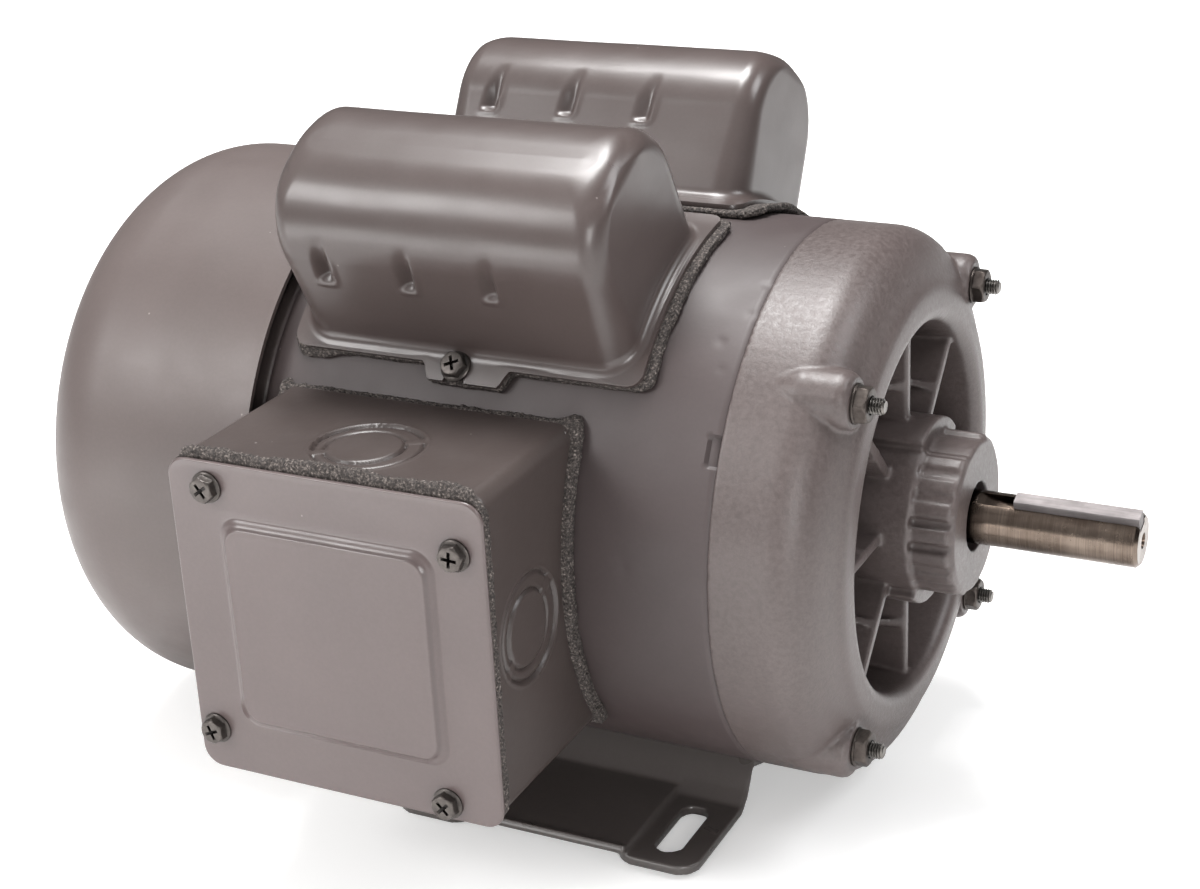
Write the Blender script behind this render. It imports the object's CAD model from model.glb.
# Foot-mounted electric motor with two capacitor covers and a conduit box.
# The shaft lies along X at height AXIS_Z, drive end towards +X and fan towards -X. Z is up.
# The front is -Y: the conduit box is there, with a capacitor cover above it.
# Shape sizes are in mm; materials, lights and floor are in metres. Angles round the shaft
# are in degrees, from +Y (rear) through +Z (up) to -Y (front).
from math import asin, atan2, cos, degrees, exp, hypot, pi, radians, sin, sqrt

import bmesh
import bpy
from mathutils import Matrix, Vector, noise
from mathutils.geometry import delaunay_2d_cdt


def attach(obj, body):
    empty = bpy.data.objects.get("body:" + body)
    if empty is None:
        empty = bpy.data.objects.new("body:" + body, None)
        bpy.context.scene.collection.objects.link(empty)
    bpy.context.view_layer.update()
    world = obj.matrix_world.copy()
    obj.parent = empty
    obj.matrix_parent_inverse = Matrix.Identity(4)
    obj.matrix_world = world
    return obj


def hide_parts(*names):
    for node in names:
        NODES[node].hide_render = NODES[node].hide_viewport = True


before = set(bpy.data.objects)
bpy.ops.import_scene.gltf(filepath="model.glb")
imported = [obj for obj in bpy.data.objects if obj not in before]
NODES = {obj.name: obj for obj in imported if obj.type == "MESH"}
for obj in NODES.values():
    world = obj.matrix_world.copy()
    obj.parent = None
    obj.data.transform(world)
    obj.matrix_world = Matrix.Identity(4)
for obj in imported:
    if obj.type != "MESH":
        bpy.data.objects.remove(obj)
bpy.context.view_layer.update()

noise.seed_set(7)

MM = 0.001
AXIS_Z = 88.9
SHELL_R = 82.0
SHELL_X = (-87.0, 57.5)
BOLT_YZ = 52.25  # through bolts, off the shaft axis both ways


# ================================================================ small maths
def ease(a, b, x):
    """Smooth step from 0 at a to 1 at b."""
    t = max(0.0, min(1.0, (x - a) / (b - a)))
    return t * t * (3 - 2 * t)


def noisy(x, y, z, size):
    """Smooth noise about -1..1 for a place and a feature size."""
    return noise.noise(Vector((x / size, y / size, z / size)))


def polar(x, radius, angle):
    a = radians(angle)
    return (x, radius * cos(a), AXIS_Z + radius * sin(a))


def circle(radius, count, u=0.0, v=0.0):
    """Points round the centre (u, v)."""
    angles = [2 * pi * i / count for i in range(count)]
    return [(u + radius * cos(a), v + radius * sin(a)) for a in angles]


def rounded_rect(a, b, radius_a, radius_b, counts):
    """Rectangle of half sizes a, b with elliptical corners, counter-clockwise.

    counts: points on each side along a, on each corner, on each side along b.
    """
    ra = max(min(radius_a, a - 1e-3), 1e-3)
    rb = max(min(radius_b, b - 1e-3), 1e-3)
    n_a, n_arc, n_b = counts
    # start and end of a side, its points, centre of the corner after it
    sides = (
        ((-a + ra, -b), (a - ra, -b), n_a, (a - ra, -b + rb)),
        ((a, -b + rb), (a, b - rb), n_b, (a - ra, b - rb)),
        ((a - ra, b), (-a + ra, b), n_a, (-a + ra, b - rb)),
        ((-a, b - rb), (-a, -b + rb), n_b, (-a + ra, -b + rb)),
    )
    points = []
    for turn, (p, q, n, centre) in enumerate(sides):
        for i in range(n):
            t = i / n
            points.append((p[0] + (q[0] - p[0]) * t, p[1] + (q[1] - p[1]) * t))
        for i in range(n_arc):
            t = radians(-90 + 90 * turn + 90 * i / n_arc)
            points.append((centre[0] + ra * cos(t), centre[1] + rb * sin(t)))
    return points


def round_rect(a, b, radius, count):
    """Rectangle with circular corners and the same count on every side."""
    radius = max(min(radius, a - 1e-3, b - 1e-3), 1e-3)
    return rounded_rect(a, b, radius, radius, (count, 12, count))


# ================================================================ mesh helpers
def loops_mesh(loops, close_first=False, close_last=False, wrap=False):
    """Quads between successive loops of equal length; wrap joins the last to the first."""
    if wrap:
        loops = loops + [loops[0]]
    n = len(loops[0])
    verts = [point for loop in loops for point in loop]
    faces = []
    for j in range(len(loops) - 1):
        for i in range(n):
            k = (i + 1) % n
            faces.append((j * n + i, j * n + k, (j + 1) * n + k, (j + 1) * n + i))
    if close_first:
        faces.append(tuple(range(n))[::-1])
    if close_last:
        start = (len(loops) - 1) * n
        faces.append(tuple(range(start, start + n)))
    return verts, faces


def join_raw(parts):
    verts, faces = [], []
    for part_verts, part_faces in parts:
        start = len(verts)
        verts += part_verts
        faces += [tuple(i + start for i in face) for face in part_faces]
    return verts, faces


def raw_object(name, verts, faces, merge=1e-6, check=False):
    """Object with close points merged (metres) and normals outwards."""
    mesh = bpy.data.meshes.new(name)
    mesh.from_pydata([(p[0] * MM, p[1] * MM, p[2] * MM) for p in verts], [], faces)
    if check:
        mesh.validate()
    bm = bmesh.new()
    bm.from_mesh(mesh)
    bmesh.ops.remove_doubles(bm, verts=bm.verts, dist=merge)
    bmesh.ops.recalc_face_normals(bm, faces=bm.faces)
    bm.to_mesh(mesh)
    bm.free()
    ob = bpy.data.objects.new(name, mesh)
    bpy.context.scene.collection.objects.link(ob)
    return ob


def apply_mods(ob):
    bpy.context.view_layer.update()
    depsgraph = bpy.context.evaluated_depsgraph_get()
    mesh = bpy.data.meshes.new_from_object(ob.evaluated_get(depsgraph))
    old = ob.data
    ob.modifiers.clear()
    ob.data = mesh
    bpy.data.meshes.remove(old)


def sharpen(ob, angle):
    """Smooth faces, with edges over the angle kept sharp."""
    bm = bmesh.new()
    bm.from_mesh(ob.data)
    limit = radians(angle)
    for e in bm.edges:
        e.smooth = not (len(e.link_faces) == 2 and e.calc_face_angle(0) > limit)
    for face in bm.faces:
        face.smooth = True
    bm.to_mesh(ob.data)
    bm.free()


def shade_smooth(ob):
    for face in ob.data.polygons:
        face.use_smooth = True


def make(name, verts, faces, material, angle, wall=None, node=None):
    """A finished piece: wall thickens inwards, node is the piece it stands in for."""
    ob = raw_object(name, verts, faces, merge=2e-6, check=True)
    ob.data.materials.append(material)
    shade_smooth(ob)
    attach(ob, "frame")
    if wall:
        solid = ob.modifiers.new("t", "SOLIDIFY")
        solid.thickness = wall * MM
        solid.offset = -1
        apply_mods(ob)
    sharpen(ob, angle)
    if node:
        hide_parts(node)
    return ob


def delete(ob):
    mesh = ob.data
    bpy.data.objects.remove(ob)
    bpy.data.meshes.remove(mesh)


def cut(ob, cutter):
    modifier = ob.modifiers.new("cut", "BOOLEAN")
    modifier.operation = "DIFFERENCE"
    modifier.solver = "EXACT"
    modifier.object = cutter
    apply_mods(ob)
    delete(cutter)


def soften(node, name, voxel, passes, material, extra=(), move=None):
    """A node's own shape with every edge softened as a casting or pressing has it."""
    mesh = NODES[node].data.copy()
    bm = bmesh.new()
    bm.from_mesh(mesh)
    bmesh.ops.remove_doubles(bm, verts=bm.verts, dist=1e-6)
    if move:
        for vert in bm.verts:
            move(vert)
    for points, faces in extra:
        verts = [bm.verts.new((p[0] * MM, p[1] * MM, p[2] * MM)) for p in points]
        for face in faces:
            bm.faces.new([verts[i] for i in face])
    bm.to_mesh(mesh)
    bm.free()
    ob = bpy.data.objects.new(name, mesh)
    bpy.context.scene.collection.objects.link(ob)
    remesh = ob.modifiers.new("r", "REMESH")
    remesh.mode = "VOXEL"
    remesh.voxel_size = voxel * MM
    smooth = ob.modifiers.new("s", "SMOOTH")
    smooth.factor = 0.5
    smooth.iterations = passes
    apply_mods(ob)
    ob.data.materials.clear()
    ob.data.materials.append(material)
    shade_smooth(ob)
    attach(ob, "frame")
    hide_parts(node)


# ================================================================ shader helpers
class Shader:
    """Adds nodes to a tree. Inputs are outputs of other nodes, or plain values."""

    def __init__(self, tree):
        self.tree = tree

    def feed(self, socket, value):
        if isinstance(value, bpy.types.NodeSocket):
            self.tree.links.new(value, socket)
        elif socket.type == "RGBA":
            socket.default_value = (*value, 1)
        else:
            socket.default_value = value

    def node(self, kind, inputs=None, **settings):
        made = self.tree.nodes.new("ShaderNode" + kind)
        for key, value in settings.items():
            setattr(made, key, value)
        for key, value in (inputs or {}).items():
            self.feed(made.inputs[key], value)
        return made

    def noise(self, scale, detail, rough, dist=0.0, at=None):
        inputs = {"Scale": scale, "Detail": detail, "Roughness": rough, "Distortion": dist,
                  "Vector": at or self.coords}
        return self.node("TexNoise", inputs).outputs["Fac"]

    def cells(self, scale):
        inputs = {"Scale": scale, "Vector": self.coords}
        return self.node("TexVoronoi", inputs, feature="F1").outputs["Distance"]

    def stretched(self, scale):
        return self.node("Mapping", {"Scale": scale, "Vector": self.coords}).outputs[0]

    def ramp(self, fac, *stops):
        """Stops are (position, color or grey value)."""
        made = self.node("ValToRGB", {0: fac})
        elements = made.color_ramp.elements
        while len(elements) < len(stops):
            elements.new(0.5)
        for i, (position, value) in enumerate(stops):
            color = value if hasattr(value, "__len__") else (value,) * 3
            elements[i].position = position
            elements[i].color = (*color, 1)
        return made.outputs[0]

    def math(self, operation, a, b, clamp=False):
        return self.node("Math", {0: a, 1: b}, operation=operation, use_clamp=clamp).outputs[0]

    def mix(self, fac, a, b):
        return self.node("Mix", {0: fac, 6: a, 7: b}, data_type="RGBA").outputs[2]

    def bump(self, height, strength, dist, normal=None):
        inputs = {"Strength": strength, "Distance": dist, "Height": height}
        if normal is not None:
            inputs["Normal"] = normal
        return self.node("Bump", inputs).outputs[0]

    def edges(self, radius, lo, hi):
        """White along convex and concave edges."""
        bevel = self.node("Bevel", {"Radius": radius}, samples=4).outputs[0]
        flat = self.node("NewGeometry").outputs["Normal"]
        dot = self.node("VectorMath", {0: bevel, 1: flat}, operation="DOT_PRODUCT")
        turn = self.math("SUBTRACT", 1.0, dot.outputs["Value"], clamp=True)
        return self.ramp(turn, (lo, 0.0), (hi, 1.0))

    def worn_edges(self, radius, lo, hi, scale, patch, amount):
        """Edges broken into patches by noise that fades in between the two patch levels."""
        edges = self.edges(radius, lo, hi)
        patches = self.noise(scale=scale, detail=4, rough=0.7)
        patches = self.ramp(patches, (patch[0], 0.0), (patch[1], 1.0))
        return self.math("MULTIPLY", edges, self.math("MULTIPLY", patches, amount))

    def open_areas(self, dist, lo=0.35, hi=0.95):
        """Black in crevices, white in the open."""
        occlusion = self.node("AmbientOcclusion", {"Distance": dist}, samples=4)
        return self.ramp(occlusion.outputs["AO"], (lo, 0.0), (hi, 1.0))

    def surface(self, **inputs):
        """Set the surface's inputs, with _ for each space in their names."""
        for key, value in inputs.items():
            self.feed(self.bsdf.inputs[key.replace("_", " ")], value)


def new_material(name):
    material = bpy.data.materials.new(name)
    material.use_nodes = True
    material.node_tree.nodes.clear()
    s = Shader(material.node_tree)
    s.output = s.node("OutputMaterial")
    s.bsdf = s.node("BsdfPrincipled")
    s.feed(s.output.inputs[0], s.bsdf.outputs[0])
    return material, s


def object_material(name):
    """Material whose textures follow the object's own coordinates."""
    material, s = new_material(name)
    s.coords = s.node("TexCoord").outputs["Object"]
    return material, s


def shade(color, factor, add=0.0):
    return [min(1, x * factor + add) for x in color]


# ================================================================ material kinds
def paint(name, color, rough, peel=0.10, speck=0.5, coat=0.0, wear=0.25, crevice=0.62):
    """Paint with orange peel, dust specks, rubbed edges and darker crevices."""
    material, s = object_material(name)
    broad = s.noise(scale=22, detail=3, rough=0.55)
    fine = s.noise(scale=900, detail=2, rough=0.6)
    tone = s.ramp(broad, (0.3, shade(color, 0.93)), (0.7, shade(color, 1.07)))
    grain = s.ramp(fine, (0.35, shade(color, 0.6)), (0.7, shade(color, 1.55)))
    tone = s.mix(0.07, tone, grain)
    dots = s.cells(scale=150)
    gate = s.noise(scale=60, detail=2, rough=0.5)
    dots = s.math("LESS_THAN", dots, 0.055)
    dots = s.math("MULTIPLY", dots, s.math("GREATER_THAN", gate, 0.60))
    dots = s.math("MULTIPLY", dots, speck)
    tone = s.mix(dots, tone, shade(color, 2.3, add=0.10))
    worn = s.worn_edges(radius=0.0008, lo=0.07, hi=0.32, scale=240, patch=(0.42, 0.62),
                        amount=wear)
    tone = s.mix(worn, tone, shade(color, 1.7, add=0.03))
    tone = s.mix(s.open_areas(dist=0.010), shade(color, crevice), tone)
    gloss = s.noise(scale=70, detail=2, rough=0.5)
    relief = s.bump(s.noise(scale=430, detail=3, rough=0.55), strength=peel, dist=0.00025)
    s.surface(
        Base_Color=tone,
        Roughness=s.ramp(gloss, (0.3, rough - 0.02), (0.7, rough + 0.06)),
        IOR=1.5, Coat_Weight=coat, Coat_Roughness=0.16,
        Normal=s.bump(fine, strength=0.03, dist=0.00012, normal=relief))
    return material


def cast_paint(name, color, rough):
    """Paint over a pitted casting."""
    material, s = object_material(name)
    broad = s.noise(scale=30, detail=3, rough=0.6)
    pits = s.noise(scale=650, detail=5, rough=0.75)
    tone = s.ramp(broad, (0.3, shade(color, 0.90)), (0.7, shade(color, 1.08)))
    pitted = s.ramp(pits, (0.38, shade(color, 0.55)), (0.68, shade(color, 1.7, add=0.03)))
    tone = s.mix(0.22, tone, pitted)
    worn = s.worn_edges(radius=0.0010, lo=0.08, hi=0.34, scale=300, patch=(0.45, 0.6),
                        amount=0.55)
    tone = s.mix(worn, tone, shade(color, 1.9, add=0.05))
    tone = s.mix(s.open_areas(dist=0.022, lo=0.2, hi=0.9), shade(color, 0.52), tone)
    gloss = s.ramp(pits, (0.3, rough - 0.10), (0.7, rough + 0.12))
    relief = s.bump(pits, strength=0.28, dist=0.0004)
    swell = s.noise(scale=120, detail=3, rough=0.5)
    s.surface(Base_Color=tone, Roughness=gloss,
              Normal=s.bump(swell, strength=0.12, dist=0.0006, normal=relief))
    return material


def foam(name):
    material, s = object_material(name)
    cells = s.cells(scale=1150)
    fleck = s.noise(scale=1400, detail=3, rough=0.7)
    tone = s.ramp(fleck, (0.34, (0.014, 0.011, 0.010)), (0.48, (0.052, 0.041, 0.037)),
                  (0.57, (0.12, 0.10, 0.09)), (0.70, (0.30, 0.26, 0.235)))
    tone = s.mix(s.ramp(cells, (0.2, 0.0), (0.7, 0.6)), tone, (0.016, 0.013, 0.012))
    relief = s.bump(cells, strength=0.8, dist=0.0006)
    s.surface(Base_Color=tone, Roughness=0.82,
              Normal=s.bump(fleck, strength=0.6, dist=0.0005, normal=relief))
    return material


def metal(name, dark, light, rough, lines, blotch, ridges=0.10, metallic=1.0, aniso=0.0):
    """Blotched metal; lines is the scale of its machining lines on each axis."""
    material, s = object_material(name)
    line = s.noise(scale=1.0, detail=4, rough=0.7, at=s.stretched(lines))
    blotches = s.noise(scale=blotch, detail=5, rough=0.6)
    tone = s.ramp(blotches, (0.34, dark), (0.66, light))
    tone = s.mix(0.35, tone, s.ramp(line, (0.3, shade(dark, 0.55)), (0.7, shade(light, 1.3))))
    tone = s.mix(s.open_areas(dist=0.006), shade(dark, 0.25), tone)
    gloss = s.noise(scale=160, detail=4, rough=0.7)
    s.surface(Base_Color=tone, Metallic=metallic,
              Roughness=s.ramp(gloss, (0.3, rough - 0.09), (0.7, rough + 0.12)),
              Anisotropic=aniso, Normal=s.bump(line, strength=ridges, dist=0.00012))
    return material


def plastic(name, color, rough, scale, relief):
    material, s = object_material(name)
    broad = s.noise(scale=40, detail=4, rough=0.6)
    fine = s.noise(scale=scale, detail=4, rough=0.6)
    tone = s.ramp(broad, (0.3, shade(color, 0.75)), (0.7, shade(color, 1.25)))
    worn = s.math("MULTIPLY", s.edges(radius=0.0006, lo=0.03, hi=0.25), 0.3)
    s.surface(Base_Color=s.mix(worn, tone, shade(color, 1.8, add=0.04)),
              Roughness=s.ramp(fine, (0.3, rough - 0.08), (0.7, rough + 0.12)),
              Normal=s.bump(fine, strength=relief, dist=0.0003))
    return material


def laminated(name, dark, light):
    """Stacked steel sheets: fine lines across the shaft."""
    material, s = object_material(name)
    inputs = {"Scale": 320, "Distortion": 0.6, "Detail": 2, "Vector": s.coords}
    wave = s.node("TexWave", inputs, wave_type="BANDS", bands_direction="X").outputs["Fac"]
    tone = s.ramp(wave, (0.2, dark), (0.8, light))
    blotches = s.noise(scale=70, detail=4, rough=0.6)
    tone = s.mix(0.3, tone, s.ramp(blotches, (0.3, shade(dark, 0.5)), (0.7, light)))
    s.surface(Base_Color=tone, Metallic=0.8, Roughness=0.48,
              Normal=s.bump(wave, strength=0.5, dist=0.0003))
    return material


def strands(name, dark, light):
    """Bundled enamelled wire."""
    material, s = object_material(name)
    wires = s.noise(scale=1.0, detail=2, rough=0.4, dist=0.8, at=s.stretched((700, 160, 160)))
    s.surface(Base_Color=s.ramp(wires, (0.35, dark), (0.6, light)), Metallic=0.7,
              Roughness=0.32, Coat_Weight=0.4,
              Normal=s.bump(wires, strength=0.8, dist=0.0007))
    return material


# ================================================================ materials
SHELL = paint("paint_shell", (0.053, 0.0390, 0.0385), rough=0.50)
SHROUD = paint("paint_fan_cover", (0.090, 0.0705, 0.0665), rough=0.42, peel=0.14, speck=0.6)
CAPACITOR = paint("paint_capacitor_covers", (0.066, 0.0505, 0.0475), rough=0.30, peel=0.05,
                  coat=0.12, wear=0.30)
PLATE = paint("paint_cover_plate", (0.091, 0.0680, 0.0660), rough=0.30, peel=0.12,
              speck=0.4, coat=0.15, wear=0.45)
BOX = paint("paint_conduit_box", (0.050, 0.0385, 0.0355), rough=0.34, peel=0.14,
            speck=0.8, wear=0.45)
CASTING = cast_paint("paint_castings", (0.082, 0.0640, 0.0610), rough=0.40)
BASE = paint("paint_base", (0.085, 0.074, 0.070), rough=0.28, coat=0.5, wear=0.7,
             crevice=0.75)
FOAM = foam("foam_gasket")
SHAFT = metal("steel_shaft", (0.070, 0.048, 0.036), (0.215, 0.172, 0.142), rough=0.20,
              lines=(3200, 40, 40), ridges=0.14, blotch=70, aniso=0.6)
KEY = metal("steel_key", (0.100, 0.089, 0.089), (0.175, 0.159, 0.159), rough=0.50,
            lines=(60, 900, 900), metallic=0.55, blotch=90, aniso=0.4)
NUT = metal("steel_fasteners", (0.050, 0.040, 0.036), (0.115, 0.098, 0.088), rough=0.44,
            lines=(700, 700, 700), metallic=0.85, ridges=0.20, blotch=160)
THREAD = metal("steel_thread", (0.085, 0.078, 0.072), (0.23, 0.215, 0.20), rough=0.38,
               lines=(900, 900, 900), ridges=0.15, blotch=200)
SCREW = metal("steel_screws_dark", (0.045, 0.037, 0.034), (0.10, 0.088, 0.08), rough=0.36,
              lines=(800, 800, 800), metallic=0.6, ridges=0.2, blotch=240)
BEARING = metal("steel_bearing", (0.62, 0.62, 0.63), (0.80, 0.80, 0.81), rough=0.14,
                lines=(2400, 60, 60), ridges=0.05, blotch=60, aniso=0.3)
ZINC = metal("steel_zinc", (0.46, 0.45, 0.42), (0.66, 0.65, 0.62), rough=0.34,
             lines=(500, 500, 500), blotch=90)
CAST_ALUMINIUM = metal("aluminium_cast", (0.52, 0.53, 0.54), (0.70, 0.71, 0.72), rough=0.46,
                       lines=(500, 500, 500), ridges=0.3, blotch=60)
CAN = metal("aluminium_can", (0.60, 0.61, 0.62), (0.78, 0.79, 0.80), rough=0.25,
            lines=(60, 1400, 1400), ridges=0.08, blotch=40, aniso=0.6)
BRASS = metal("brass_parts", (0.50, 0.34, 0.12), (0.80, 0.60, 0.26), rough=0.28,
              lines=(900, 900, 900), blotch=110, aniso=0.2)
RUBBER = plastic("rubber_black", (0.018, 0.018, 0.019), rough=0.62, scale=900, relief=0.2)
FAN = plastic("plastic_fan", (0.030, 0.030, 0.032), rough=0.46, scale=800, relief=0.15)
BROWN = plastic("phenolic_brown", (0.13, 0.07, 0.04), rough=0.40, scale=500, relief=0.12)
BLACK = plastic("phenolic_black", (0.022, 0.021, 0.022), rough=0.22, scale=300, relief=0.05)
WIRE = plastic("wire_insulation", (0.34, 0.045, 0.035), rough=0.38, scale=600, relief=0.06)
LAMINATIONS = laminated("steel_laminations", (0.16, 0.16, 0.17), (0.42, 0.42, 0.44))
WINDING = strands("copper_winding", (0.20, 0.07, 0.025), (0.72, 0.32, 0.13))
CORD = plastic("lacing_cord", (0.62, 0.57, 0.45), rough=0.75, scale=1500, relief=0.5)

# material, and the nodes that wear it
WEARERS = (
    (LAMINATIONS, "stator_core rotor_core"),
    (WINDING, "stator_winding"),
    (CORD, "winding_lacing"),
    (BEARING, "drive_bearing_outer_race rear_bearing_outer_race drive_bearing_inner_race "
              "rear_bearing_inner_race drive_bearing_balls rear_bearing_balls"),
    (BRASS, "drive_bearing_cage rear_bearing_cage switch_arm switch_fixed_contact "
            "terminal_studs ground_screw start_capacitor_terminals run_capacitor_terminals"),
    (ZINC, "wave_spring bearing_retaining_ring fan_retaining_ring governor_plate "
           "governor_pins governor_weight_upper governor_weight_lower switch_pivot_pin "
           "conduit_box_screws"),
    (RUBBER, "shaft_seal lead_grommet"),
    (CAST_ALUMINIUM, "rotor_cage"),
    (FAN, "cooling_fan"),
    (BROWN, "governor_collar switch_board terminal_board"),
    (WIRE, "lead_wires"),
    (BLACK, "start_capacitor"),
    (CAN, "run_capacitor"),
    (SHAFT, "shaft"),
    (KEY, "shaft_key"),
    (NUT, "through_bolts through_bolt_nuts fan_cover_screws"),
    (SHELL, "shell"),
    (SHROUD, "fan_cover"),
    (BOX, "conduit_box"),
    (PLATE, "conduit_cover"),
    (FOAM, "conduit_box_gasket conduit_cover_gasket capacitor_gasket_front "
           "capacitor_gasket_rear"),
    (CAPACITOR, "capacitor_cover_front capacitor_cover_rear"),
    (SCREW, "capacitor_cover_screws conduit_cover_screws"),
    (BASE, "base_plate"),
    (CASTING, "drive_end_shield rear_end_shield"),
)
for material, nodes in WEARERS:
    for node in nodes.split():
        ob = NODES[node]
        if ob.material_slots:
            for slot in ob.material_slots:
                slot.material = material
        else:
            ob.data.materials.append(material)

for node in ("shaft", "shaft_key"):
    bevel = NODES[node].modifiers.new("edge", "BEVEL")
    bevel.width = 0.00025
    bevel.segments = 2
    bevel.limit_method = "ANGLE"
    bevel.angle_limit = radians(32)
    bevel.harden_normals = True


# ================================================================ castings and pressings
# x, radius of a bolt boss, towards the drive end
BOSS_PROFILE = ((65.0, 4.6), (69.0, 6.9), (75.0, 8.2), (86.6, 8.2), (88.2, 7.7), (89.0, 6.9))
BOSS_BORE = 2.75
BOSS_OFFSET = 1.3  # body further from the shaft than its bore
BOLT_PLACES = [(sy * BOLT_YZ, AXIS_Z + sz * BOLT_YZ) for sy in (1, -1) for sz in (1, -1)]
FLUTE_STARTS = (24, 42, 60, 114, 132, 150, 168, 186, 204, 222, 294, 312, 330)
FLUTE_SPAN = 11.5


def boss(y, z):
    """Fuller body of a bolt boss standing out of the shoulder of the casting."""
    away = Vector((y, z - AXIS_Z)).normalized()
    centre = (y + away.x * BOSS_OFFSET, z + away.y * BOSS_OFFSET)
    loops = [[(x, *p) for p in circle(r, 48, *centre)] for x, r in BOSS_PROFILE]
    loops += [[(x, *p) for p in circle(BOSS_BORE, 48, y, z)] for x in (89.0, 65.0)]
    return loops_mesh(loops, wrap=True)


def flute(a0):
    """Raised flute on the outside of the bearing hub."""
    a1 = a0 + FLUTE_SPAN
    points = [(20.5, a0), (23.1, a0), (24.1, a0 + 1.2)]
    points += [(24.15, a0 + 1.2 + (a1 - a0 - 2.4) * k / 5) for k in range(1, 5)]
    points += [(24.1, a1 - 1.2), (23.1, a1), (20.5, a1)]
    rings = [[polar(x, r, a) for r, a in points] for x in (88.0, 105.0, 105.9)]
    return loops_mesh(rings, close_first=True, close_last=True)


def sink_ring(vert):
    """Drop the ring rib below the tops of the radial ribs, which are 45 degrees apart."""
    x, y, z = vert.co.x / MM, vert.co.y / MM, vert.co.z / MM - AXIS_Z
    r = hypot(y, z)
    if 85.5 < x < 87 and 36.4 < r < 39.8:
        a = degrees(atan2(z, y)) % 45
        a = min(a, 45 - a)
        if r * sin(radians(a)) > 1.9:
            vert.co.x = 78.5 * MM


soften("drive_end_shield", "drive_end_bell", voxel=0.60, passes=3, material=CASTING,
       move=sink_ring,
       extra=[flute(a) for a in FLUTE_STARTS] + [boss(y, z) for y, z in BOLT_PLACES])
soften("rear_end_shield", "rear_end_bell", voxel=0.85, passes=4, material=CASTING)
soften("base_plate", "foot_plate", voxel=0.6, passes=6, material=BASE)


# ================================================================ rolled shell
# x, angle, width, depth
DENTS = (
    (33.0, 222.0, 4.0, 0.40), (50.0, 128.0, 1.3, 0.25), (55.5, 121.0, 1.1, 0.35),
    (52.5, 134.0, 1.0, 0.2), (56.0, 113.0, 1.2, 0.35), (33.0, 175.0, 1.6, 0.15),
    (54.0, 60.0, 1.4, 0.3), (46.0, 24.0, 1.6, 0.25),
)
ARC_PER_DEGREE = 1.43  # mm on the shell's surface
SEAM_ANGLE = 262.0
NOTCH_ANGLE = 150.0


def shell_radius(x, a):
    edge = min(x - SHELL_X[0], SHELL_X[1] - x)
    roll = 0.5 * (1 - min(1.0, edge / 0.8)) ** 2
    r = SHELL_R - roll + 0.05 * noisy(x, a * 1.4, 0, 38)
    for dent_x, dent_a, width, depth in DENTS:
        q = ((x - dent_x) / width) ** 2 + (((a - dent_a) * ARC_PER_DEGREE) / width) ** 2
        if q < 6:
            r -= depth * exp(-q)
    # longitudinal weld seam underneath
    q = abs(a - SEAM_ANGLE) * ARC_PER_DEGREE
    if q < 6:
        r += 0.22 * exp(-(q / 2.0) ** 2) * (1 + 0.3 * sin(x * 2.2))
    r = min(r, SHELL_R)
    # shallow notch in the drive-end edge
    if x > 54.1 and abs(a - NOTCH_ANGLE) < 2.7:
        r -= 1.1
    return r


def build_shell(around=540, along=150):
    verts, faces = [], []
    for j in range(along + 1):
        x = SHELL_X[0] + (SHELL_X[1] - SHELL_X[0]) * j / along
        for i in range(around):
            a = 360.0 * i / around
            verts.append(polar(x, shell_radius(x, a), a))
    for j in range(along):
        this, after = j * around, (j + 1) * around
        for i in range(around):
            k = (i + 1) % around
            faces.append((this + i, after + i, after + k, this + k))
    make("rolled_shell", verts, faces, SHELL, angle=40, wall=2.4, node="shell")


build_shell()


# ================================================================ fan cover
SHROUD_R = 90.2
SHROUD_BEND = 30
BEND_X = -142.0
GUARD_X = BEND_X - SHROUD_BEND
GUARD_R = 50.2
SHROUD_COUNT = 288
# radius of a ring of air holes, number of holes
HOLE_RINGS = ((0.0, 1), (10.0, 6), (19.0, 12), (28.0, 18), (37.0, 24), (46.0, 30))


def shroud_side():
    profile = [(-86.5, SHROUD_R)]
    profile += [(-86.9 - k * 55.1 / 55, SHROUD_R) for k in range(56)]
    for k in range(1, 37):
        t = radians(90 * k / 36)
        radius = SHROUD_R - SHROUD_BEND + SHROUD_BEND * cos(t)
        profile.append((BEND_X - SHROUD_BEND * sin(t), radius))
    profile += [(GUARD_X, r) for r in (57.0, 53.0, GUARD_R)]
    loops = []
    for x, r in profile:
        loop = []
        for i in range(SHROUD_COUNT):
            a = 2 * pi * i / SHROUD_COUNT
            dented = r > 60 and x < -88
            wobble = 0.10 * noisy(x, 60 * cos(a), 60 * sin(a), 45) if dented else 0.0
            loop.append((x, (r + wobble) * cos(a), AXIS_Z + (r + wobble) * sin(a)))
        loops.append(loop)
    return loops_mesh(loops)


def lip_depth(p, holes):
    for y, z, radius in holes:
        d = hypot(p.x - y, p.y - z)
        if d < radius + 0.05:
            return 0.55
        if d < radius + 0.2:
            return 0.16
    return 0.0


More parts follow.
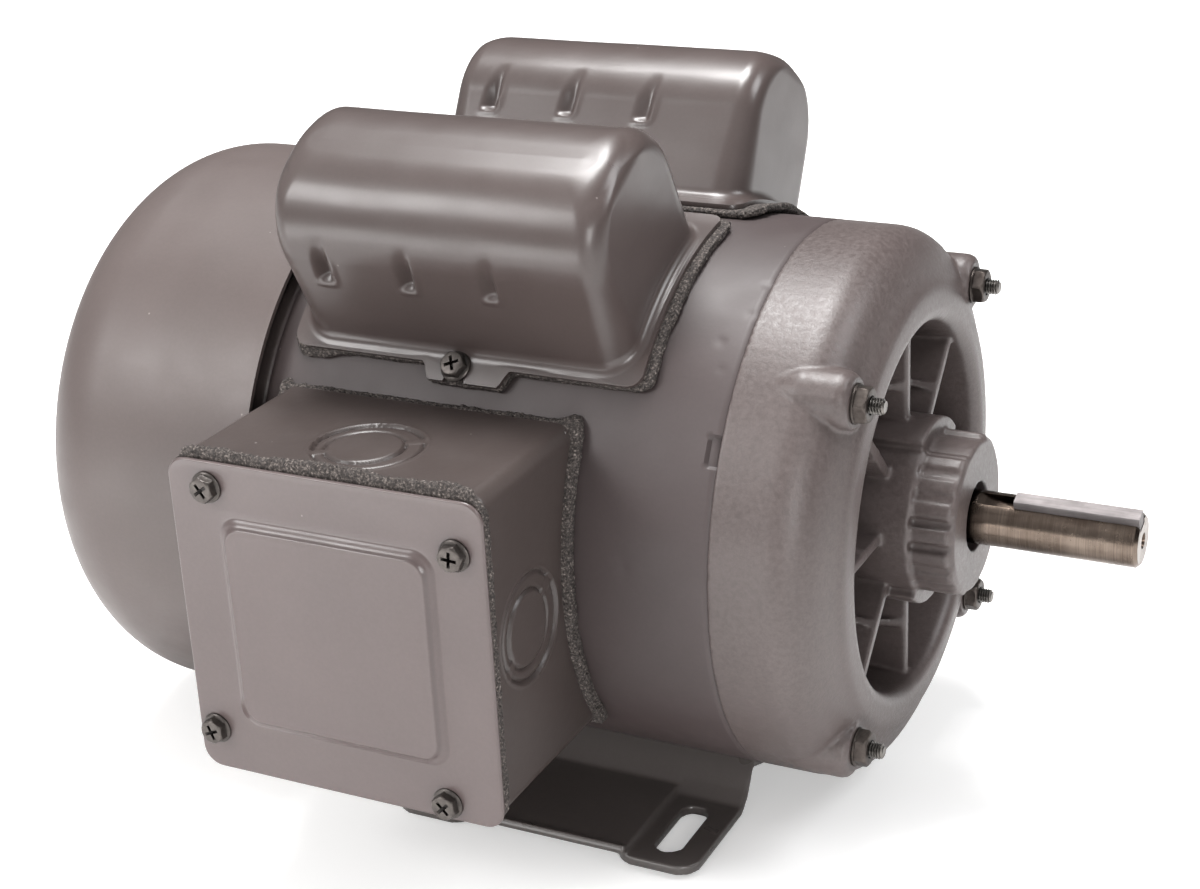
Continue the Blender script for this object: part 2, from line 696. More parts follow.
def guard_face():
    """Guard face with its air holes, each with a rolled lip."""
    points, edges, holes = [], [], []

    def add_ring(ring):
        start, n = len(points), len(ring)
        points.extend(Vector(p) for p in ring)
        edges.extend((start + i, start + (i + 1) % n) for i in range(n))

    add_ring(circle(GUARD_R, SHROUD_COUNT))
    for ring_r, count in HOLE_RINGS:
        for y, z in circle(ring_r, count):
            radius = 2.9 if ring_r else 3.0
            holes.append((y, z, radius))
            for r in (radius + 0.45, radius + 0.12, radius):
                add_ring(circle(r, 24, y, z))
    flat, _, triangles, _, _, _ = delaunay_2d_cdt(points, edges, [], 0, 1e-6)
    faces = []
    for triangle in triangles:
        c = sum((flat[i] for i in triangle), Vector((0, 0))) / 3
        in_hole = any(hypot(c.x - y, c.y - z) < radius - 0.01 for y, z, radius in holes)
        if c.length <= GUARD_R + 0.05 and not in_hole:
            faces.append(tuple(triangle))
    return [(GUARD_X + lip_depth(p, holes), p.x, AXIS_Z + p.y) for p in flat], faces


make("fan_shroud", *join_raw([shroud_side(), guard_face()]), SHROUD, angle=38, wall=1.4,
     node="fan_cover")

# ================================================================ capacitor covers
COVER_X = -23.7
COVER_ANGLE = 118.5  # lean of the front cover; the rear one mirrors it
FLANGE_ANGLE = 117.0
FLANGE_R = 85.7
ARC_R = 85.0  # radius at which arc lengths round the shell are taken
COVER_COUNTS = (118, 14, 64)
HALF_LENGTH = 52.4
FOOT_HALF_WIDTH = 28.5
TOP_HALF_WIDTH = 27.0
FOOT_CORNER = 9.5
FOOT_FILLET = 2.6
SHOULDER_H = 109.0  # above the shaft axis, where the dome starts
DOME_R = 23.0
END_R = 7.0
TAB_LENGTH = 5.2
GRIP_XS = (-60.0, -33.0, -7.0)


def cover_rect(a, b, ra, rb):
    return rounded_rect(a, b, ra, rb, COVER_COUNTS)


def leaning(angle, x, w, h):
    """Place in the leaning frame of a cover: along the shaft, across, outwards."""
    a = radians(angle)
    return (x, -w * sin(a) + h * cos(a), AXIS_Z + w * cos(a) + h * sin(a))


def curved(angle, x, s, r):
    """Place on a cylinder: arc length s from the centre line."""
    return polar(x, r, angle + degrees(s / ARC_R))


def flange_outline(x_lo, x_hi, half_s, radius, side, tab, notch):
    """Outline of a flange on the shell, with the screw tab on one side."""
    middle = (x_lo + x_hi) / 2
    out = []
    for px, s in cover_rect((x_hi - x_lo) / 2, half_s, radius, radius):
        x = px + middle
        if side * s > half_s - 1.0:
            t = ease(tab[0] - 1.6, tab[0] + 1.6, x) * (1 - ease(tab[1] - 1.6, tab[1] + 1.6, x))
            s += side * TAB_LENGTH * t
            if notch:
                inside = ease(-27.4, -26.4, x) * (1 - ease(-22.0, -21.0, x))
                s -= side * TAB_LENGTH * inside * ease(0.4, 1, t)
        out.append((x, s))
    return out


def grip_offset(x, w, h):
    """Pressed grips: a shallow ramp on one side, a crisp step on the other, deepest low down."""
    out = 0.0
    if abs(w) > 8 and 100.5 < h < 122:
        for n, grip_x in enumerate(GRIP_XS):
            u = x - grip_x - 0.10 * (h - 104)
            along = ease(-4.4, -0.2, u) * (1 - ease(0.3, 1.9, u))
            up = ease(102.4, 104.6, h) * (1 - ease(106.0, 119.5, h))
            out -= (2.5 - 0.45 * n) * along * up
            # raised beads beside and below the hollow
            out += (0.32 * ease(1.0, 2.1, u) * (1 - ease(2.1, 4.2, u))
                    * ease(101.5, 104, h) * (1 - ease(106, 114, h)))
            out += (0.30 * ease(-5, -2, u) * (1 - ease(1.0, 3.4, u))
                    * ease(100.6, 102.0, h) * (1 - ease(102.0, 103.8, h)))
    return out


def cover_flange(lean, flange, side, seed):
    shift = radians(lean - flange) * ARC_R
    outer = flange_outline(-79.5, 32.5, 35.0, 4.5, side, tab=(-34.0, -9.0), notch=True)
    foot = cover_rect(HALF_LENGTH + FOOT_FILLET, FOOT_HALF_WIDTH + FOOT_FILLET, 12.0, 12.0)
    inner = [(x + COVER_X, shift + ARC_R * asin(w / FLANGE_R)) for x, w in foot]
    loops = []
    # drop below the flange's top, share of the way in to the foot
    for drop, share in ((1.25, 0.0), (0.35, 0.0), (0.0, 0.014), (0.0, 0.25), (0.0, 0.5),
                        (0.0, 0.75), (0.0, 0.93)):
        loops.append([
            curved(flange, xo + (xi - xo) * share, so + (si - so) * share,
                   FLANGE_R - drop + 0.12 * noisy(xo, so, seed, 20))
            for (xo, so), (xi, si) in zip(outer, inner)])
    for k in range(6):
        t = radians(90 * k / 5)
        grow = FOOT_FILLET * (1 - sin(t))
        rise = FOOT_FILLET * (1 - cos(t))
        corner = FOOT_CORNER + grow
        loops.append([
            leaning(lean, x + COVER_X, w, sqrt(FLANGE_R ** 2 - w ** 2) + rise)
            for x, w in cover_rect(HALF_LENGTH + grow, FOOT_HALF_WIDTH + grow, corner, corner)])
    return loops


def cover_body():
    """Walls and dome as loops of (x, across, outwards)."""
    foot = cover_rect(HALF_LENGTH, FOOT_HALF_WIDTH, FOOT_CORNER, FOOT_CORNER)
    loops = []
    for k in range(1, 47):
        t = k / 46
        corner = FOOT_CORNER - 2.5 * t
        half_width = FOOT_HALF_WIDTH + (TOP_HALF_WIDTH - FOOT_HALF_WIDTH) * t
        loop = []
        for (x, w), (_, foot_w) in zip(
                cover_rect(HALF_LENGTH - 0.5 * t, half_width, corner, corner), foot):
            low = sqrt(FLANGE_R ** 2 - foot_w ** 2) + FOOT_FILLET
            loop.append((x + COVER_X, w, low + (SHOULDER_H - low) * t))
        loops.append(loop)
    top = SHOULDER_H + DOME_R
    for k in range(1, 49):
        t = radians(90 * k / 48)
        h = SHOULDER_H + DOME_R * sin(t)
        w = TOP_HALF_WIDTH - DOME_R * (1 - cos(t))
        lift = max(0.0, h - (top - END_R))
        half = HALF_LENGTH - 0.5 - (END_R - sqrt(max(0.0, END_R ** 2 - lift ** 2)))
        corner = min(w * 0.98, END_R / max(cos(t), 0.3))
        loops.append([(px + COVER_X, pw, h) for px, pw in cover_rect(half, w, END_R, corner)])
    half = HALF_LENGTH - 0.5 - END_R
    for k in (0.85, 0.6, 0.35, 0.12, 0.01):
        ridge = cover_rect(half, 4.0 * k, 6.0 * k + 0.3, 3.9 * k)
        loops.append([(px * (0.9 + 0.1 * k) + COVER_X, pw, top + 0.12 * (1 - k))
                      for px, pw in ridge])
    return loops


def capacitor_cover(name, node, lean, flange, side, seed):
    def pressed(x, w, h):
        sign = 1 if w > 0 else -1
        flat = ease(90, 97, h)
        out = sign * grip_offset(x, w, h) + 0.16 * flat * noisy(x, w * 3, h + seed, 24) * sign
        return leaning(lean, x, w + out, h + 0.16 * flat * noisy(x, w, h + seed, 28))

    loops = cover_flange(lean, flange, side, seed)
    loops += [[pressed(*p) for p in loop] for loop in cover_body()]
    make(name, *loops_mesh(loops, close_last=True), CAPACITOR, angle=60, wall=1.1, node=node)


capacitor_cover("capacitor_cover_a", "capacitor_cover_front", COVER_ANGLE, FLANGE_ANGLE,
                side=1, seed=3)
capacitor_cover("capacitor_cover_b", "capacitor_cover_rear", 180 - COVER_ANGLE,
                180 - FLANGE_ANGLE, side=-1, seed=17)

# radius, reach from the inner outline to the outer, raggedness
CAPACITOR_GASKET = (
    (84.35, 0.0, 0.0), (84.35, 0.55, 0.0), (84.35, 0.80, 0.05), (84.3, 0.96, 0.3),
    (84.1, 1.0, 0.6), (83.4, 1.012, 0.95), (82.8, 1.01, 0.9), (82.3, 1.0, 0.5),
    (82.06, 0.96, 0.2), (82.05, 0.8, 0.0), (82.05, 0.0, 0.0),
)


def capacitor_gasket(name, node, angle, side, seed, drive_out, wave):
    """Foam under a cover: drive_out is its overhang at the drive end, wave its lift there."""
    outer = flange_outline(-80.3, 32.5 + drive_out, 35.6, 5.0, side, tab=(-34.4, -8.6),
                           notch=False)
    inner = cover_rect(46.0, 26.0, 6.0, 6.0)
    loops = []
    for r, reach, rag in CAPACITOR_GASKET:
        loop = []
        for (xo, so), (xi, si) in zip(outer, inner):
            x = xi + COVER_X + (xo - xi - COVER_X) * reach
            s = si + (so - si) * reach
            tear = rag * (0.55 * noisy(xo + seed, so, r * 3, 1.1)
                          + 0.55 * noisy(xo, so + seed, r, 6.0)
                          + 0.45 * noisy(xo, so, seed + r * 5, 0.55))
            drive_end = ease(30.5, 33.0, xo)
            fan_end = 1 - ease(-80.0, -78.5, xo)
            if drive_end > 0 or fan_end > 0:
                x += tear * (drive_end - fan_end)
                x += 0.9 * rag * drive_end * noisy(so, seed, 0, 14)
            if abs(so) > 34.0:
                flap = rag
                if side * so > 0:
                    flap = rag * (1.7 * (1 - ease(-70, -63, xo)) * ease(-79.5, -76, xo)
                                  - 0.5 * ease(-66, -60, xo))
                s += (1 if so > 0 else -1) * (tear * 0.7 + flap)
            pores = 0.16 * noisy(xo, so + seed, 9, 0.9) if 82.9 < r < 84.2 else 0
            radius = min(r + pores, 84.38)
            if x > 33.0:
                radius += wave * ease(33.0, 38.0, x) * (0.5 + 0.5 * noisy(s, seed, 3, 12))
            loop.append(curved(angle, x, s, radius))
        loops.append(loop)
    make(name, *loops_mesh(loops, wrap=True), FOAM, angle=50, node=node)


capacitor_gasket("capacitor_gasket_a", "capacitor_gasket_front", FLANGE_ANGLE, side=1,
                 seed=11, drive_out=2.6, wave=0.3)
capacitor_gasket("capacitor_gasket_b", "capacitor_gasket_rear", 180 - FLANGE_ANGLE, side=-1,
                 seed=37, drive_out=6.0, wave=1.6)

# ================================================================ conduit box
BOX_X, BOX_Z = -32.0, 85.25
BOX_A, BOX_B = 47.5, 47.75  # half length along the shaft, half height
BOX_CORNER = 5.0
BOX_Y = -124.0  # open rim
SEAT_R = 85.6  # where the box sits round the shaft
COVER_SCREWS = ((-68.2, 124.8), (8.2, 117.1), (0.0, 41.4), (-75.0, 49.1))  # x, z
EAR_R = 7.2


def sign_outside(value, limit):
    """1 or -1 past the limit on either side, 0 between."""
    return 1 if value > limit else (-1 if value < -limit else 0)


def knockout(u, w, tilt):
    """Scored rings and the slightly proud disc of a knockout, its inner ring off centre."""
    outer = hypot(u, w)
    inner = hypot(u + 0.9, w + 0.3)
    d = 0.0
    d -= 0.95 * exp(-((outer - 15.2) / 0.5) ** 2)
    d -= 1.0 * exp(-((inner - 11.1) / 0.5) ** 2)
    d += 0.22 * exp(-((outer - 16.3) / 0.6) ** 2)
    d -= 0.28 * (1 - ease(14.6, 15.2, outer)) * ease(11.2, 12.0, inner)
    d += (0.02 + tilt * 0.06 * u) * (1 - ease(10.3, 11.0, inner))
    # two uncut bridges across the scores
    for bridge in (35, 215):
        a = degrees(atan2(w, u)) % 360
        if abs(a - bridge) < 7 and 10 < outer < 16.5:
            d *= 0.25
    return d


def box_wall(rows=96):
    loops = []
    for j in range(rows + 1):
        loop = []
        for px, pz in round_rect(BOX_A, BOX_B, BOX_CORNER, 190):
            x, z = px + BOX_X, pz + BOX_Z
            y_end = -sqrt(SEAT_R ** 2 - (z - AXIS_Z) ** 2)
            y = BOX_Y + (y_end - BOX_Y) * (j / rows)
            side_x = sign_outside(px, BOX_A - 0.05)
            side_z = sign_outside(pz, BOX_B - 0.05)
            d = 0.0
            if side_z == 1:
                d = knockout(x + 30.5, y + 105.5, 0.18)
            elif side_x == 1:
                d = knockout(y + 104.5, z - 86.5, -0.12)
            d += 0.05 * noisy(x, y, z, 26) - 0.05
            d -= 0.35 * (1 - min(y - BOX_Y, 1.0)) ** 2
            if side_x or side_z:
                loop.append((x + side_x * d, y, z + side_z * d))
            else:
                out = Vector((px - (BOX_A - BOX_CORNER) * (1 if px > 0 else -1),
                              pz - (BOX_B - BOX_CORNER) * (1 if pz > 0 else -1)))
                out.normalize()
                loop.append((x + out.x * d, y, z + out.y * d))
        loops.append(loop)
    return make("conduit_box_body", *loops_mesh(loops), BOX, angle=40, wall=1.5)


def ear(ear_x, ear_z):
    """Bent ear behind the cover plate, ending at the wall it is folded from."""
    points = []
    for x, z in circle(EAR_R, 48, ear_x, ear_z):
        x = max(BOX_X - BOX_A + 1.0, min(BOX_X + BOX_A - 1.0, x))
        z = max(BOX_Z - BOX_B + 1.0, min(BOX_Z + BOX_B - 1.0, z))
        points.append((x, z))
    rings = []
    # y, share of the way from the screw hole to the outline
    for y, share in ((-123.9, 0.0), (-123.9, 0.94), (-123.7, 1.0), (-122.2, 1.0),
                     (-122.0, 0.94), (-122.0, 0.0)):
        k = 0.27 + 0.73 * share
        rings.append([(ear_x + (x - ear_x) * k, y, ear_z + (z - ear_z) * k) for x, z in points])
    return loops_mesh(rings, wrap=True)


def saddle_floor():
    """Floor of the box, curved round the shell."""
    sides = []
    for r in (SEAT_R, SEAT_R + 1.4):
        zs = [BOX_Z - BOX_B + 1.2 + (2 * BOX_B - 2.4) * j / 24 for j in range(25)]
        sides.append([(-sqrt(r ** 2 - (z - AXIS_Z) ** 2), z) for z in zs])
    ring = sides[0] + sides[1][::-1]
    ends = (BOX_X - BOX_A + 1.2, BOX_X + BOX_A - 1.2)
    return loops_mesh([[(x, y, z) for y, z in ring] for x in ends],
                      close_first=True, close_last=True)


box = box_wall()
make("conduit_box_inner", *join_raw([ear(x, z) for x, z in COVER_SCREWS] + [saddle_floor()]),
     BOX, angle=30)
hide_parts("conduit_box")

# radius, reach from the inner outline to the outer, raggedness
SEAT_GASKET = (
    (SEAT_R - 0.06, 0.0, 0), (SEAT_R - 0.06, 0.6, 0), (SEAT_R - 0.06, 0.92, 0.1),
    (SEAT_R - 0.4, 0.99, 0.6), (SEAT_R - 1.2, 1.0, 1.0), (SEAT_R - 2.2, 1.0, 1.0),
    (SHELL_R + 0.5, 0.995, 0.7), (SHELL_R + 0.06, 0.97, 0.2), (SHELL_R + 0.06, 0.0, 0),
)


def seat_gasket():
    """Foam between the box and the shell."""
    outer = round_rect(BOX_A + 2.9, BOX_B + 2.8, 7.0, 170)
    inner = round_rect(BOX_A - 10.0, BOX_B - 10.0, 4.0, 170)
    loops = []
    for r, reach, rag in SEAT_GASKET:
        loop = []
        for (xo, zo), (xi, zi) in zip(outer, inner):
            x = xi + (xo - xi) * reach
            z = zi + (zo - zi) * reach
            tear = rag * (0.7 * noisy(xo, zo, r * 2, 1.2) + 0.9 * noisy(xo, zo, 50 + r, 7.0)
                          + 0.45 * noisy(xo, zo, r * 6, 0.6) - 0.3)
            if abs(xo) > BOX_A + 1:
                x += tear * (1 if xo > 0 else -1)
            elif abs(zo) > BOX_B + 1:
                z += tear * (1 if zo > 0 else -1)
            if rag:
                x -= 0.4 * ease(49.0, 50.3, xo)
                x += 1.4 * (1 - ease(-50.3, -49.0, xo))
                z -= (2.95 * ease(48.6, 50.4, zo) * (1 - ease(40, 50, xo))
                      * (1 - 0.5 * (1 - ease(-50, -46, xo))))
                z += 1.2 * (1 - ease(-50.4, -48.6, zo))
            between = SHELL_R + 0.4 < r < SEAT_R - 0.3
            radius = r + (0.25 * noisy(xo, zo, r, 1.0) if between else 0)
            drop = z + BOX_Z - AXIS_Z
            loop.append((x + BOX_X, -sqrt(radius ** 2 - drop ** 2), z + BOX_Z))
        loops.append(loop)
    make("conduit_box_seat_gasket", *loops_mesh(loops, wrap=True), FOAM, angle=50,
         node="conduit_box_gasket")


seat_gasket()

# ---------------------------------------------------------------- cover plate
PLATE_X, PLATE_Z = BOX_X, 84.3
PLATE_A, PLATE_B = 49.0, 48.0
PLATE_BACK_Y = -127.04
PLATE_FRONT_Y = -128.5
FIELD_Y = -130.5
FIELD_DZ = 0.2  # raised field above the plate's centre
# y, reach from the inner outline to the outer, raggedness
PLATE_GASKET = (
    (-126.96, 0.0, 0), (-126.96, 0.9, 0), (-126.9, 1.0, 0.5), (-126.3, 1.01, 1.0),
    (-125.5, 1.01, 1.0), (-124.7, 1.01, 1.0), (-124.1, 1.0, 0.5), (-124.04, 0.9, 0),
    (-124.04, 0.0, 0),
)


def plate_gasket():
    """Foam behind the cover plate, squeezed out along its top edge."""
    outer = round_rect(48.5, 48.0, 6.0, 170)
    inner = round_rect(40.5, 39.75, 4.0, 170)
    loops = []
    for y, reach, rag in PLATE_GASKET:
        loop = []
        for (xo, zo), (xi, zi) in zip(outer, inner):
            x = xi + (xo - xi) * reach
            z = zi + (zo - zi) * reach
            tear = rag * (0.75 * noisy(xo, zo, y * 2, 1.2) + 0.8 * noisy(xo, zo, 20 + y, 6.0)
                          + 0.5 * noisy(xo, zo, y * 5, 0.6))
            top = 0.0
            if zo > 47 and abs(xo) < 46:
                top = rag * (1.5 + 1.0 * noisy(xo, 3, 8, 18)
                             + 1.1 * ease(-30, 5, xo) * (1 - ease(36, 46, xo)))
            if abs(xo) > 48.0:
                x += tear * 0.8 * (1 if xo > 0 else -1)
            elif abs(zo) > 47.5:
                z += (tear * 0.8 + top) * (1 if zo > 0 else -1)
            loop.append((x + PLATE_X, y + 0.12 * rag * noisy(xo, zo, y, 1.0),
                         z + PLATE_Z + 0.6))
        loops.append(loop)
    make("conduit_cover_seat_gasket", *loops_mesh(loops, wrap=True), FOAM, angle=50,
         node="conduit_cover_gasket")


def plate_loop(a, b, corner, y, wave=0.0, dz=0.0):
    loop = []
    for px, pz in round_rect(a, b, corner, 96):
        d = wave * (0.22 * noisy(px, pz, 0, 34) + 0.06 * noisy(px, pz, 5, 11))
        loop.append((px + PLATE_X, y - d, pz + PLATE_Z + dz))
    return loop


def cover_plate():
    """Plate with a raised field, hollow behind."""
    hollow = []
    for k in range(9):
        t = k / 8
        y = PLATE_BACK_Y - 1.95 * ease(0, 1, t)
        hollow.append(plate_loop(33.0 - 3.9 * t, 31.3 - 3.9 * t, 5.6 - 1.5 * t, y, 0, FIELD_DZ))
    for k in (0.7, 0.4, 0.1, 0.02):
        hollow.append(plate_loop(29.1 * k, 27.4 * k, 3.4 * k, -128.99, 0, FIELD_DZ))
    loops = hollow[::-1]
    # back edge, then the rounded rim
    loops.append(plate_loop(47.9, 46.9, 5.4, PLATE_BACK_Y))
    loops.append(plate_loop(48.75, 47.75, 5.9, -127.1))
    for k in range(7):
        t = radians(90 * k / 6)
        inset = 0.7 * (1 - cos(t))
        loops.append(plate_loop(PLATE_A - inset, PLATE_B - inset, 6.0 - 0.5 * (1 - cos(t)),
                                -127.8 - 0.7 * sin(t), 0.3))
    for k in range(1, 9):
        t = k / 9
        loops.append(plate_loop(48.3 - (48.3 - 34.8) * t, 47.3 - (47.3 - 33.2) * t, 5.5,
                                PLATE_FRONT_Y, min(1.0, t * 2), FIELD_DZ * t))
    # ogee up to the raised field: a steep toe, a rounded shoulder and a slight crown at its lip
    for k in range(17):
        t = k / 16
        inset = 3.6 * t
        rise = 1.9 * (0.35 * ease(0, 0.45, t) + 0.65 * ease(0.35, 1, t))
        rise += 0.22 * exp(-((t - 0.82) / 0.12) ** 2)
        loops.append(plate_loop(34.0 - inset, 32.4 - inset, 6.2 - inset * 0.35,
                                PLATE_FRONT_Y - rise, 1, FIELD_DZ))
    for k in range(1, 25):
        t = k / 24
        loops.append(plate_loop(30.4 * (1 - t) + 0.6 * t, 28.8 * (1 - t) + 0.6 * t,
                                4.4 * (1 - t) + 0.1, FIELD_Y, 1, FIELD_DZ))
    make("conduit_cover_plate", *loops_mesh(loops, close_first=True, close_last=True), PLATE,
         angle=55, node="conduit_cover")


plate_gasket()
cover_plate()

# ================================================================ fasteners
X_AXIS, Y_AXIS, Z_AXIS = Vector((1, 0, 0)), Vector((0, 1, 0)), Vector((0, 0, 1))
WASHER_THICK = 0.9
SCREW_SHANK_R = 1.85
CENTRE_R = 0.02  # tiny ring that closes the middle of a turned piece


# A place is an origin and three axes, the third pointing out of the head.
def placed(mesh, place):
    origin, ex, ey, ez = place
    return [tuple(origin + ex * p[0] + ey * p[1] + ez * p[2]) for p in mesh[0]], mesh[1]


def radial_place(x, radius, angle):
    a = radians(angle)
    return (Vector(polar(x, radius, angle)), X_AXIS, Vector((0, -sin(a), cos(a))),
            Vector((0, cos(a), sin(a))))


def hex_head(flats, height, washer=0.0, washer_thick=0.0, bore=0.0, dish=False, spin=0.0):
    """Hex head, on a washer face if one is given, with turned chamfers; z is outwards."""
    loops = []

    def ring(z, radius):
        loop = []
        for i in range(96):
            t = 2 * pi * i / 96
            r = radius(t) if callable(radius) else radius
            loop.append((r * cos(t + spin), r * sin(t + spin), z))
        loops.append(loop)

    def hexagon(t):
        return flats / 2 / cos((t + pi / 6) % (pi / 3) - pi / 6)

    def chamfered(limit, inset=0.0):
        return lambda t: min(hexagon(t), flats / 2 * limit) - inset

    ring(0.0, bore or CENTRE_R)
    if washer:
        for z, r in ((0.0, washer - 0.15), (0.12, washer), (washer_thick * 0.55, washer),
                     (washer_thick * 0.85, washer - 0.25)):
            ring(z, r)
        rim = washer - 0.7
        ring(washer_thick, lambda t: rim if rim > hexagon(t) else hexagon(t) + 0.02)
        ring(washer_thick + 0.08, lambda t: hexagon(t) + 0.06)
        ring(washer_thick + 0.25, hexagon)
    else:
        ring(0.0, chamfered(1.02))
        ring(0.3, chamfered(1.10))
        ring(0.6, hexagon)
    top = washer_thick + height
    for down, limit in ((0.9, 1.16), (0.6, 1.10), (0.3, 1.035), (0.08, 0.97)):
        ring(top - down, chamfered(limit, inset=0.03))
    ring(top, flats / 2 * 0.90)
    if bore:
        ring(top, bore + 0.25)
        ring(top - 0.25, bore)
    else:
        if dish:
            ring(top - 0.05, flats / 2 * 0.80)
            ring(top - 0.25, flats / 2 * 0.70)
            ring(top - 0.28, 0.3)
        ring(top - (0.28 if dish else 0), CENTRE_R)
    return loops_mesh(loops, wrap=bool(bore))


def flat_ring(z, radius):
    return [(x, y, z) for x, y in circle(radius, 40)]


def thread(radius, length, pitch):
    rows = int(length / pitch * 9)
    loops = [flat_ring(0.0, CENTRE_R)]
    for j in range(rows + 1):
        z = length * j / rows
        fade = ease(0, pitch * 0.8, z)
        tip = ease(length, length - 0.7, z)
        loop = []
        for i in range(40):
            a = 2 * pi * i / 40
            phase = (z / pitch - a / (2 * pi)) % 1.0
            r = radius - pitch * 0.58 * (1 - abs(phase * 2 - 1)) * fade
            r -= 0.55 * (1 - tip)
            loop.append((r * cos(a), r * sin(a), z))
        loops.append(loop)
    loops.append(flat_ring(length, CENTRE_R))
    return loops_mesh(loops)


def rod(radius, z0, z1):
    profile = ((z0, CENTRE_R), (z0, radius - 0.2), (z0 + 0.2, radius), (z1 - 0.2, radius),
               (z1, radius - 0.2), (z1, CENTRE_R))
    return loops_mesh([flat_ring(z, r) for z, r in profile])


def recess_cutters(place, top, depth, width, reach, spin):
    """Two tapered bars that cut a cross driver recess."""
    faces = [(0, 3, 2, 1), (4, 5, 6, 7), (0, 1, 5, 4), (1, 2, 6, 5), (2, 3, 7, 6), (3, 0, 4, 7)]
    cutters = []
    for a in (spin, spin + pi / 2):
        ux, uy = cos(a), sin(a)
        points = []
        for z, long, wide in ((top - depth, reach * 0.32, width * 0.55),
                              (top + 1.0, reach * 1.12, width * 0.62)):
            for s, t in ((-1, -1), (1, -1), (1, 1), (-1, 1)):
                points.append((ux * long * s - uy * wide * t, uy * long * s + ux * wide * t, z))
        cutters.append(placed((points, faces), place))
    return cutters


def screw_set(name, node, places, spins, flats, height, washer, shank, material):
    """Hex washer screws with a driver recess, merged as one piece."""
    parts = []
    for place, spin in zip(places, spins):
        head = hex_head(flats, height, washer, WASHER_THICK, spin=spin)
        ob = raw_object(name + "_t", *placed(head, place))
        for cutter in recess_cutters(place, top=WASHER_THICK + height, depth=1.8, width=0.80,
                                     reach=flats * 0.40, spin=spin * 1.7 + 0.3):
            cut(ob, raw_object("cut", *cutter))
        parts.append(([tuple(v.co / MM) for v in ob.data.vertices],
                      [tuple(face.vertices) for face in ob.data.polygons]))
        delete(ob)
        parts.append(placed(rod(SCREW_SHANK_R, -shank, 0.02), place))
    make(name, *join_raw(parts), material, angle=32, node=node)


screw_set("cover_plate_screws", "conduit_cover_screws",
          [(Vector((x, PLATE_FRONT_Y, z)), X_AXIS, Z_AXIS, -Y_AXIS) for x, z in COVER_SCREWS],
          spins=(0.2, 0.7, 1.2, 0.05), flats=6.9, height=2.5, washer=4.55, shank=9.5,
          material=SCREW)
screw_set("capacitor_cover_fixings", "capacitor_cover_screws",
          [radial_place(-24.5, FLANGE_R + 0.05, angle) for angle in (141.0, 39.0)],
          spins=(0.5, 0.1), flats=6.9, height=2.4, washer=4.55, shank=5.6, material=SCREW)
screw_set("fan_shroud_screws", "fan_cover_screws",
          [radial_place(-91.5, SHROUD_R + 0.05, angle) for angle in (0, 90, 180)],
          spins=(0.1, 0.4, 0.8), flats=6.4, height=2.3, washer=4.4, shank=8.6, material=NUT)


def through_bolts():
    """Bolts with heads at the fan end, and their flange nuts at the drive end."""
    flats, height = 9.5, 3.3
    nuts, bolts = [], []
    for k, (y, z) in enumerate(BOLT_PLACES):
        def at(x, sign=1.0):
            return Vector((x, y, z)), Y_AXIS, Z_AXIS * sign, X_AXIS * sign

        nut = hex_head(flats, height, washer=5.6, washer_thick=WASHER_THICK, bore=2.5,
                       spin=0.35 + 0.5 * k)
        nuts.append(placed(nut, at(89.4)))
        bolts.append(placed(thread(radius=2.38, length=9.5, pitch=0.79), at(88.0)))
        bolts.append(placed(rod(2.4, 0.0, 182.95), at(-95.0)))
        head = hex_head(flats, height, dish=True, spin=0.2 + 0.4 * k)
        bolts.append(placed(head, at(-95.05, sign=-1.0)))
    make("through_bolt_flange_nuts", *join_raw(nuts), NUT, angle=32, node="through_bolt_nuts")
    make("through_bolt_set", *join_raw(bolts), THREAD, angle=32, node="through_bolts")


through_bolts()


# ================================================================ stage
def floor(half=6.0, z=-0.0014, near_glow=0.35):
    """White floor; seen directly, it glows up to the backdrop's white far away."""
    material, s = new_material("floor_white")
    s.surface(Base_Color=(0.92, 0.92, 0.915), Roughness=0.9)
    seen = s.node("LightPath").outputs["Is Camera Ray"]
    glow = s.node("Emission", {0: (1, 0.998, 0.995), 1: near_glow})
    position = s.node("NewGeometry").outputs["Position"]
    far = s.node("VectorMath", {0: position}, operation="LENGTH").outputs["Value"]
    strength = s.node("MapRange", {"Value": far, "From Min": 0.55, "From Max": 1.9,
                                   "To Min": near_glow, "To Max": 1.0})
    s.feed(glow.inputs[1], strength.outputs["Result"])
    lit = s.bsdf.outputs[0]
    glowing = s.node("AddShader", {0: lit, 1: glow.outputs[0]}).outputs[0]
    mixed = s.node("MixShader", {0: seen, 1: lit, 2: glowing})
    s.feed(s.output.inputs[0], mixed.outputs[0])

    mesh = bpy.data.meshes.new("floor")
    corners = [(-half, -half, z), (half, -half, z), (half, half, z), (-half, half, z)]
    mesh.from_pydata(corners, [], [(0, 1, 2, 3)])
    ob = bpy.data.objects.new("floor", mesh)
    bpy.context.scene.collection.objects.link(ob)
    mesh.materials.append(material)


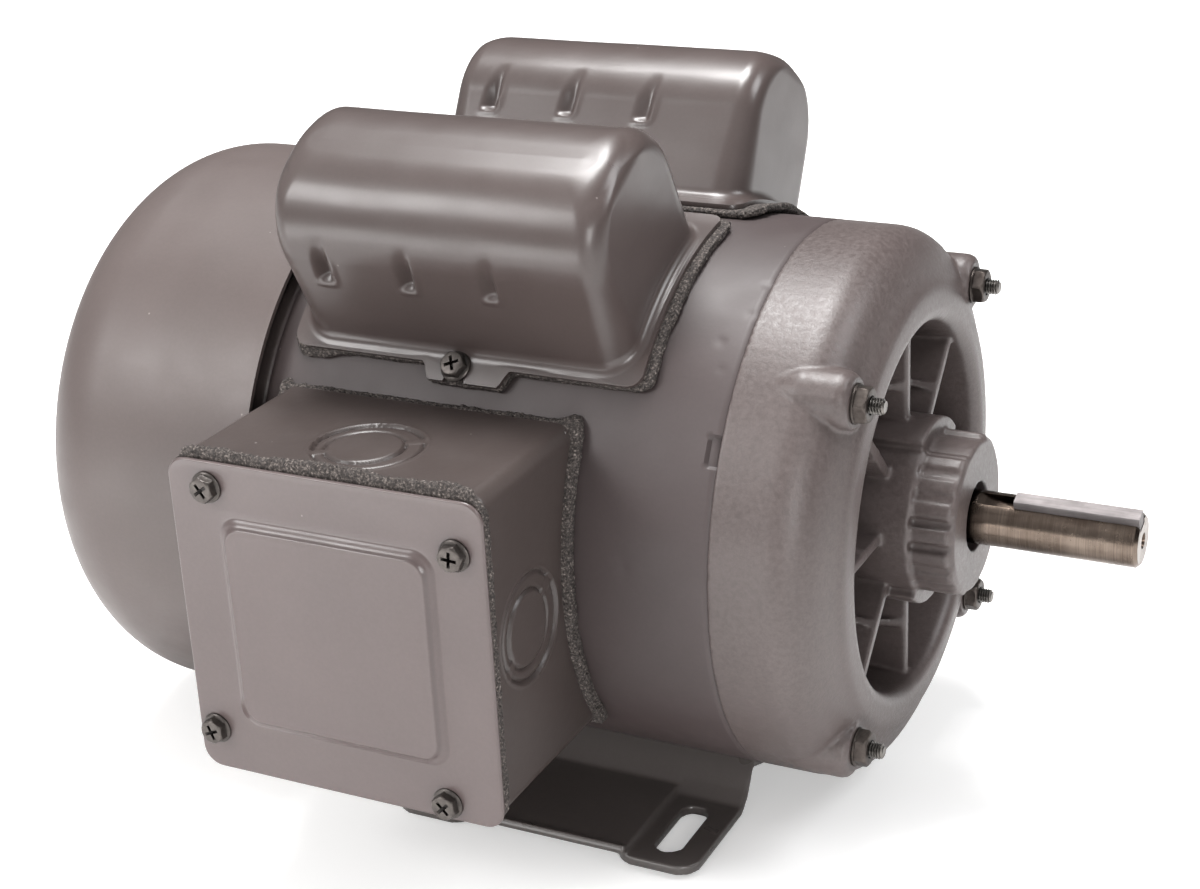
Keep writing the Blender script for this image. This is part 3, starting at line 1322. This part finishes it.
def studio():
    """White backdrop; its light is brightest from above, on the front and fan-end side."""
    world = bpy.data.worlds.new("studio")
    bpy.context.scene.world = world
    world.use_nodes = True
    s = Shader(world.node_tree)
    background = world.node_tree.nodes["Background"]
    bright = Vector((-0.50, -0.45, 0.74)).normalized()
    ray = s.node("TexCoord").outputs["Generated"]
    dot = s.node("VectorMath", {0: ray, 1: bright}, operation="DOT_PRODUCT")
    soft = s.ramp(dot.outputs["Value"], (0.0, 0.09), (0.35, 0.19), (0.75, 0.52), (1.0, 0.75))
    seen = s.node("LightPath").outputs["Is Camera Ray"]
    s.feed(background.inputs[0], s.mix(seen, soft, (1.0, 0.998, 0.996)))
    # strength is 1 for every ray; the factor is the extra for the camera's
    s.feed(background.inputs[1], s.math("ADD", s.math("MULTIPLY", seen, 0.0), 1.0))


def area(name, location, target, size, power, color, size_y=None):
    light = bpy.data.lights.new(name, "AREA")
    light.energy = power
    light.color = color
    light.size = size
    if size_y:
        light.shape = "RECTANGLE"
        light.size_y = size_y
    ob = bpy.data.objects.new(name, light)
    bpy.context.scene.collection.objects.link(ob)
    ob.location = location
    aim = Vector(target) - Vector(location)
    ob.rotation_euler = aim.to_track_quat("-Z", "Y").to_euler()
    ob.visible_camera = False


def camera(azimuth, elevation, roll, location, lens):
    az, el, tilt = radians(azimuth), radians(elevation), radians(roll)
    back = Vector((sin(az) * cos(el), -cos(az) * cos(el), sin(el)))
    right = Vector((0, 0, 1)).cross(back).normalized()
    up = back.cross(right)
    axes = (right * cos(tilt) + up * sin(tilt), up * cos(tilt) - right * sin(tilt), back)
    data = bpy.data.cameras.new("camera")
    data.sensor_fit = "HORIZONTAL"
    data.sensor_width = 36.0
    data.lens = lens
    data.clip_start = 0.01
    data.clip_end = 20
    ob = bpy.data.objects.new("camera", data)
    bpy.context.scene.collection.objects.link(ob)
    matrix = Matrix(axes).transposed().to_4x4()
    matrix.translation = Vector(location) * MM
    ob.matrix_world = matrix
    bpy.context.scene.camera = ob


WARM = (1, 0.99, 0.985)
floor()
studio()
area("key_left", (-0.95, -1.15, 0.95), (0, 0, 0.10), size=0.55, power=12.5, color=WARM)
area("top", (-0.20, 0.16, 1.4), (0, 0, 0.1), size=0.60, power=31, color=(1, 0.995, 0.99))
area("front_card", (-0.22, -0.46, 0.012), (-0.06, -0.12, 0.10), size=0.42, size_y=0.20,
     power=0.95, color=WARM)
area("right_high", (0.9, 0.25, 1.0), (0.05, 0, 0.12), size=0.5, power=7.0,
     color=(0.97, 0.98, 1.0))
area("right_front", (0.80, -1.05, 0.45), (0.08, 0, 0.09), size=0.45, power=7, color=WARM)
camera(azimuth=27.26, elevation=22.41, roll=-2.9, location=(273.3, -558.58, 353.51),
       lens=65.0391)
bpy.context.scene.view_settings.view_transform = "Standard"
